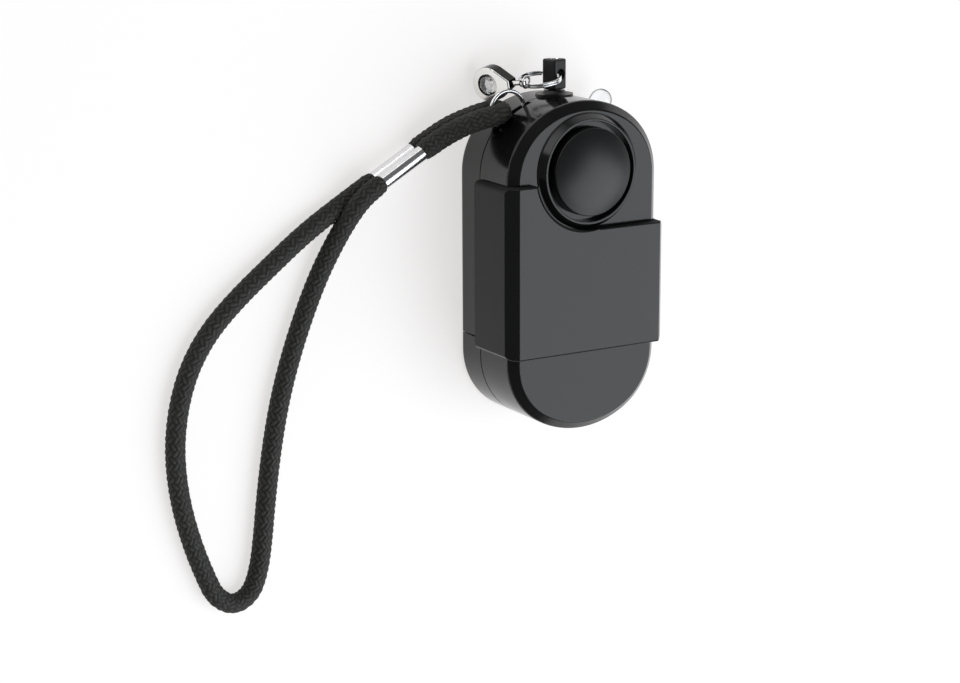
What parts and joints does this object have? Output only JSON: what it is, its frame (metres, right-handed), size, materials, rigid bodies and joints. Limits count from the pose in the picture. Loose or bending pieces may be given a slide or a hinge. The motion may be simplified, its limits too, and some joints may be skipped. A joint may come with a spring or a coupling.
{
  "type": "personal alarm",
  "caption": "Pocket personal alarm with a motion sensor dome, pull pin, pendant on a split ring, corded wrist strap and sliding battery cover.",
  "frame": {"origin": "middle of the flat back of the case, which rests on the surface", "axes": "+Z out of the front face, +Y towards the end with the pull pin, +X to the right seen from the front"},
  "size_m": [0.1029, 0.1059, 0.025],
  "materials": {
    "case_plastic": "glossy",
    "cover_plastic": "glossy",
    "lens_plastic": "satin",
    "pin_plastic": "satin",
    "inner_plastic": "matt",
    "polished_metal": "polished",
    "sleeve_metal": "satin",
    "steel": "satin",
    "stone_glass": "clear",
    "lamp_clear": "clear",
    "cord_braid": "braided",
    "board_green": "satin",
    "chip_black": "matt",
    "copper": "satin",
    "brass": "satin",
    "ceramic": "matt",
    "cell_steel": "satin"
  },
  "bodies": {
    "case": {"front_shell": "case_plastic", "rear_shell": "case_plastic", "front_cover": "cover_plastic", "bezel_ring": "case_plastic", "dome_lens": "lens_plastic", "lens_retainer": "inner_plastic", "motion_sensor": "steel", "sensor_window": "chip_black", "pin_collar": "case_plastic", "strap_post": "steel", "lamp": "lamp_clear", "lamp_leads": "steel", "circuit_board": "board_green", "controller_chip": "chip_black", "capacitor": "inner_plastic", "resistors": "chip_black", "coil_core": "chip_black", "coil_winding": "copper", "trigger_leaves": "brass", "sounder_ring": "inner_plastic", "piezo_plate": "brass", "piezo_disc": "ceramic", "cells": "cell_steel", "battery_holder": "inner_plastic", "contact_spring": "steel", "contact_plate": "steel", "switch_body": "chip_black", "case_screws": "steel"},
    "cover": {"battery_cover": "case_plastic"},
    "pin": {"pull_pin": "pin_plastic", "pin_rod": "steel", "pin_stud": "polished_metal"},
    "key_ring": {"split_ring": "polished_metal", "charm_link": "polished_metal"},
    "pendant": {"charm": "polished_metal", "charm_stone": "stone_glass"},
    "strap": {"strap_ring": "polished_metal", "strap_bight": "cord_braid", "strap_loop": "cord_braid", "strap_ferrule": "sleeve_metal"},
    "switch": {"switch_knob": "pin_plastic"}
  },
  "joints": [
    {"name": "pin_pull", "type": "slide", "parent": "case", "child": "pin", "axis": [0, 1, 0], "range_m": [0, 0.018]},
    {"name": "ring_swing", "type": "hinge", "parent": "pin", "child": "key_ring", "pos_m": [0, 0.0376, 0.0083], "axis": [-0.2924, 0, -0.9563], "range_deg": [0, 70]},
    {"name": "pendant_swing", "type": "hinge", "parent": "key_ring", "child": "pendant", "pos_m": [-0.00907, 0.03742, 0.01105], "axis": [-0.1735, 0.9848, -0.0089], "range_deg": [-4, 8]},
    {"name": "strap_swing", "type": "hinge", "parent": "case", "child": "strap", "pos_m": [-0.0101, 0.02926, 0.0091], "axis": [0, 0, 1], "range_deg": [-12, 5]},
    {"name": "battery_cover_slide", "type": "slide", "parent": "case", "child": "cover", "axis": [0, -1, 0], "range_m": [0, 0.022]},
    {"name": "switch_slide", "type": "slide", "parent": "case", "child": "switch", "axis": [0, 1, 0], "range_m": [-0.0014, 0.0014]}
  ]
}
